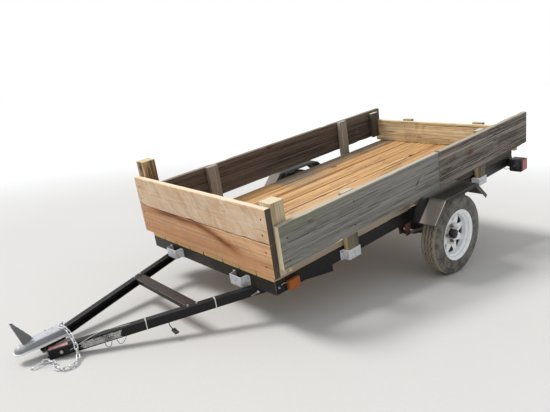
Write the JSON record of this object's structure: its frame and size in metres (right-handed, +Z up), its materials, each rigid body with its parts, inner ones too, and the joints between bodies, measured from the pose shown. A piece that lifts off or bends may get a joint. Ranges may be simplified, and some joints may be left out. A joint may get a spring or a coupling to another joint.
{
  "type": "utility trailer",
  "caption": "Single-axle utility trailer: bolted steel frame and tongue, plank deck and low board sides in stake pockets.",
  "frame": {"origin": "on the floor under the middle of the parked trailer's box", "axes": "+X towards the coupler, +Y to the trailer's left, +Z up; the trailer is parked nose down on its tongue"},
  "size_m": [3.5554, 1.61, 0.9875],
  "materials": {
    "black_steel": "dusty black paint, satin",
    "spring_steel": "black steel with light rust",
    "zinc_steel": "zinc plated, dull",
    "deck_pine": "rough sawn pine, golden",
    "tan_timber": "weathered tan boards",
    "grey_timber": "weathered grey boards",
    "tyre_rubber": "dusty rubber",
    "white_paint": "white enamel",
    "hub_steel": "dark greasy steel",
    "amber_lens": "amber moulded lens",
    "black_plastic": "black moulded plastic",
    "red_lens": "red moulded lens",
    "cord_jacket": "black cable jacket"
  },
  "bodies": {
    "root": {"front_rail": "black_steel", "rear_rail": "black_steel", "side_rail_left": "black_steel", "side_rail_right": "black_steel", "crossmembers": "black_steel", "tongue_arm_left": "black_steel", "tongue_arm_right": "black_steel", "tongue_brace": "black_steel", "tongue_spacer": "black_steel", "coupler_body": "zinc_steel", "coupler_latch": "zinc_steel", "front_stake_pockets": "zinc_steel", "left_stake_pockets": "zinc_steel", "right_stake_pockets": "zinc_steel", "rear_stake_pockets": "zinc_steel", "left_stakes": "grey_timber", "right_stakes": "grey_timber", "rear_stakes": "grey_timber", "deck_planks": "deck_pine", "left_board_front": "grey_timber", "left_board_rear": "grey_timber", "right_board": "grey_timber", "front_board_lower": "tan_timber", "front_board_upper": "tan_timber", "rear_board": "tan_timber", "front_post_left": "grey_timber", "front_post_right": "grey_timber", "rear_posts": "grey_timber", "axle_beam": "black_steel", "spring_left": "spring_steel", "spring_right": "spring_steel", "spring_hangers": "black_steel", "spring_clamps": "spring_steel", "fender_left": "black_steel", "fender_right": "black_steel", "fender_brackets": "black_steel", "side_markers": "amber_lens", "tail_lamps": "black_plastic", "tail_lenses": "red_lens", "safety_chains": "zinc_steel", "plug_lead": "cord_jacket", "wiring_plug": "black_plastic"},
    "wheel_left": {"tyre_left": "tyre_rubber", "rim_left": "white_paint", "hub_left": "hub_steel"},
    "wheel_right": {"tyre_right": "tyre_rubber", "rim_right": "white_paint", "hub_right": "hub_steel"}
  },
  "joints": [
    {"name": "wheel_left_spin", "type": "hinge", "parent": "root", "child": "wheel_left", "pos_m": [-0.74543, 0.715, 0.262], "axis": [0, 1, 0], "continuous": true},
    {"name": "wheel_right_spin", "type": "hinge", "parent": "root", "child": "wheel_right", "pos_m": [-0.74543, -0.715, 0.262], "axis": [0, 1, 0], "continuous": true}
  ]
}
